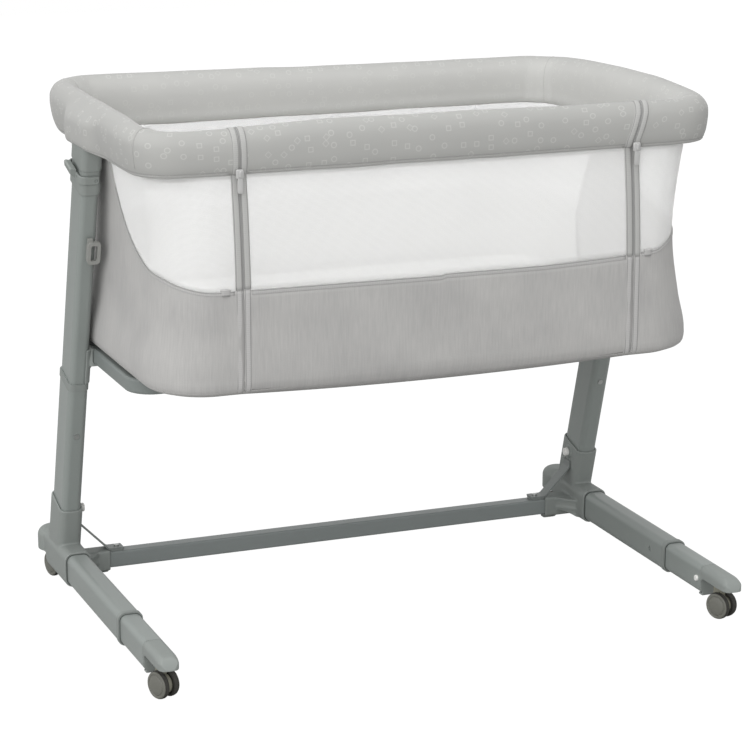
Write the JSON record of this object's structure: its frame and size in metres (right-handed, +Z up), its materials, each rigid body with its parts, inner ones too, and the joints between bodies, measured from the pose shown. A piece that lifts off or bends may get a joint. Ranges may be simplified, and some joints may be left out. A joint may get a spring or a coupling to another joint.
{
  "type": "bedside sleeper crib",
  "caption": "Bedside crib with a zip-down front side, on leaning telescopic posts, sliding front feet and twin-wheel casters.",
  "frame": {"origin": "on the floor, at the centre of the footprint", "axes": "+X along the crib's length, -Y towards the side that drops, +Z up"},
  "size_m": [0.9, 0.636, 0.752],
  "materials": {
    "frame_paint": "satin powder coat, grey with a hint of green",
    "frame_plastic": "fine moulded texture, same grey as the tubes",
    "brace_steel": "satin light grey strip",
    "button_plastic": "smooth off-white",
    "pin_steel": "zinc-plated",
    "zip_plastic": "moulded light grey",
    "caster_housing": "moulded warm grey",
    "caster_wheel": "moulded olive grey with a dark soft tread",
    "under_frame_paint": "satin powder coat",
    "rail_fabric": "printed polyester over thin foam",
    "panel_fabric": "heather grey woven polyester",
    "mesh_fabric": "white knitted air mesh",
    "tape_fabric": "woven zip tape and webbing",
    "board": "stiff board under the mattress",
    "mattress_fabric": "white quilted knit cover"
  },
  "bodies": {
    "base": {"crossbar": "frame_paint", "fasteners": "pin_steel", "foot_guides": "frame_plastic", "post_collars": "frame_plastic", "bracket_left": "frame_plastic", "foot_tube_left": "frame_paint", "outer_post_left": "frame_paint", "brace_left": "brace_steel", "bracket_right": "frame_plastic", "foot_tube_right": "frame_paint", "outer_post_right": "frame_paint", "brace_right": "brace_steel"},
    "bassinet": {"under_frame": "under_frame_paint", "rail_tube": "under_frame_paint", "rail_cover": "rail_fabric", "corner_mesh": "mesh_fabric", "rear_mesh": "mesh_fabric", "front_panel": "panel_fabric", "rear_panel": "panel_fabric", "end_panel_left": "panel_fabric", "end_panel_right": "panel_fabric", "floor_fabric": "panel_fabric", "base_board": "board", "mattress": "mattress_fabric", "zip_tapes": "tape_fabric", "strap_loops": "frame_plastic", "inner_post_left": "frame_paint", "hub_left": "frame_plastic", "arm_bracket_left": "frame_plastic", "inner_post_right": "frame_paint", "hub_right": "frame_plastic", "arm_bracket_right": "frame_plastic"},
    "drop_side": {"front_rail_tube": "under_frame_paint", "front_rail_cover": "rail_fabric", "front_mesh": "mesh_fabric", "drop_zip_tapes": "tape_fabric"},
    "extension_left": {"foot_extension_left": "frame_paint", "end_cap_left": "frame_plastic"},
    "snap_button_left": {"snap_button_left": "button_plastic"},
    "release_button_left": {"release_button_left": "button_plastic"},
    "caster_fork_front_left": {"caster_fork_front_left": "caster_housing"},
    "caster_wheels_front_left": {"caster_wheels_front_left": "caster_wheel"},
    "caster_fork_rear_left": {"caster_fork_rear_left": "caster_housing"},
    "caster_wheels_rear_left": {"caster_wheels_rear_left": "caster_wheel"},
    "height_lever_left": {"height_lever_left": "frame_plastic"},
    "lock_pin_left": {"lock_pin_left": "pin_steel"},
    "zip_slider_left": {"zip_slider_left": "zip_plastic"},
    "zip_pull_left": {"zip_pull_left": "zip_plastic"},
    "extension_right": {"foot_extension_right": "frame_paint", "end_cap_right": "frame_plastic"},
    "snap_button_right": {"snap_button_right": "button_plastic"},
    "release_button_right": {"release_button_right": "button_plastic"},
    "caster_fork_front_right": {"caster_fork_front_right": "caster_housing"},
    "caster_wheels_front_right": {"caster_wheels_front_right": "caster_wheel"},
    "caster_fork_rear_right": {"caster_fork_rear_right": "caster_housing"},
    "caster_wheels_rear_right": {"caster_wheels_rear_right": "caster_wheel"},
    "height_lever_right": {"height_lever_right": "frame_plastic"},
    "lock_pin_right": {"lock_pin_right": "pin_steel"},
    "zip_slider_right": {"zip_slider_right": "zip_plastic"},
    "zip_pull_right": {"zip_pull_right": "zip_plastic"}
  },
  "joints": [
    {"name": "extend_left", "type": "slide", "parent": "base", "child": "extension_left", "axis": [0, 1, 0], "range_m": [0, 0.09]},
    {"name": "snap_press_left", "type": "slide", "parent": "extension_left", "child": "snap_button_left", "axis": [-1, 0, 0], "range_m": [0, 0.0025], "stiffness_N_per_m": 500, "springref_m": -0.003},
    {"name": "release_press_left", "type": "slide", "parent": "base", "child": "release_button_left", "axis": [-1, 0, 0], "range_m": [0, 0.003], "stiffness_N_per_m": 500, "springref_m": -0.003},
    {"name": "swivel_front_left", "type": "hinge", "parent": "extension_left", "child": "caster_fork_front_left", "pos_m": [-0.422, -0.27, 0.045], "axis": [0, 0, 1], "continuous": true},
    {"name": "roll_front_left", "type": "hinge", "parent": "caster_fork_front_left", "child": "caster_wheels_front_left", "pos_m": [-0.41975, -0.27556, 0.0195], "axis": [0.9272, 0.3746, 0], "continuous": true},
    {"name": "swivel_rear_left", "type": "hinge", "parent": "base", "child": "caster_fork_rear_left", "pos_m": [-0.422, 0.266, 0.045], "axis": [0, 0, 1], "continuous": true},
    {"name": "roll_rear_left", "type": "hinge", "parent": "caster_fork_rear_left", "child": "caster_wheels_rear_left", "pos_m": [-0.42055, 0.26018, 0.0195], "axis": [0.9703, 0.2419, 0], "continuous": true},
    {"name": "squeeze_left", "type": "hinge", "parent": "bassinet", "child": "height_lever_left", "pos_m": [-0.416, 0.03512, 0.65876], "axis": [0, 0.9593, 0.2823], "range_deg": [0, 8], "stiffness_Nm_per_rad": 1.2, "springref_deg": -14.32},
    {"name": "draw_pin_left", "type": "slide", "parent": "bassinet", "child": "lock_pin_left", "axis": [0, -0.9593, -0.2823], "range_m": [0, 0.004]},
    {"name": "zip_run_left", "type": "slide", "parent": "bassinet", "child": "zip_slider_left", "axis": [0, -0.0547, -0.9985], "range_m": [0, 0.1464]},
    {"name": "pull_swing_left", "type": "hinge", "parent": "zip_slider_left", "child": "zip_pull_left", "pos_m": [-0.2956, -0.22905, 0.6818], "axis": [-1, 0, 0], "range_deg": [0, 120]},
    {"name": "extend_right", "type": "slide", "parent": "base", "child": "extension_right", "axis": [0, 1, 0], "range_m": [0, 0.09]},
    {"name": "snap_press_right", "type": "slide", "parent": "extension_right", "child": "snap_button_right", "axis": [1, 0, 0], "range_m": [0, 0.0025], "stiffness_N_per_m": 500, "springref_m": -0.003},
    {"name": "release_press_right", "type": "slide", "parent": "base", "child": "release_button_right", "axis": [1, 0, 0], "range_m": [0, 0.003], "stiffness_N_per_m": 500, "springref_m": -0.003},
    {"name": "swivel_front_right", "type": "hinge", "parent": "extension_right", "child": "caster_fork_front_right", "pos_m": [0.422, -0.27, 0.045], "axis": [0, 0, 1], "continuous": true},
    {"name": "roll_front_right", "type": "hinge", "parent": "caster_fork_front_right", "child": "caster_wheels_front_right", "pos_m": [0.42425, -0.27556, 0.0195], "axis": [0.9272, 0.3746, 0], "continuous": true},
    {"name": "swivel_rear_right", "type": "hinge", "parent": "base", "child": "caster_fork_rear_right", "pos_m": [0.422, 0.266, 0.045], "axis": [0, 0, 1], "continuous": true},
    {"name": "roll_rear_right", "type": "hinge", "parent": "caster_fork_rear_right", "child": "caster_wheels_rear_right", "pos_m": [0.42345, 0.26018, 0.0195], "axis": [0.9703, 0.2419, 0], "continuous": true},
    {"name": "squeeze_right", "type": "hinge", "parent": "bassinet", "child": "height_lever_right", "pos_m": [0.416, 0.03512, 0.65876], "axis": [0, -0.9593, -0.2823], "range_deg": [0, 8], "stiffness_Nm_per_rad": 1.2, "springref_deg": -14.32},
    {"name": "draw_pin_right", "type": "slide", "parent": "bassinet", "child": "lock_pin_right", "axis": [0, -0.9593, -0.2823], "range_m": [0, 0.004]},
    {"name": "zip_run_right", "type": "slide", "parent": "bassinet", "child": "zip_slider_right", "axis": [0, -0.0547, -0.9985], "range_m": [0, 0.1464]},
    {"name": "pull_swing_right", "type": "hinge", "parent": "zip_slider_right", "child": "zip_pull_right", "pos_m": [0.2956, -0.22905, 0.6818], "axis": [-1, 0, 0], "range_deg": [0, 120]},
    {"name": "height", "type": "slide", "parent": "base", "child": "bassinet", "axis": [0, -0.2823, 0.9593], "range_m": [0, 0.125]},
    {"name": "drop_side_fold", "type": "hinge", "parent": "bassinet", "child": "drop_side", "pos_m": [0, -0.2365, 0.537], "axis": [1, 0, 0], "range_deg": [0, 172]}
  ],
  "couplings": [
    {"joint": "draw_pin_left", "follows": "squeeze_left", "m_per_rad": 0.0284},
    {"joint": "zip_run_left", "follows": "drop_side_fold", "m_per_rad": 0.048701},
    {"joint": "draw_pin_right", "follows": "squeeze_right", "m_per_rad": 0.0284},
    {"joint": "zip_run_right", "follows": "drop_side_fold", "m_per_rad": 0.048701}
  ]
}
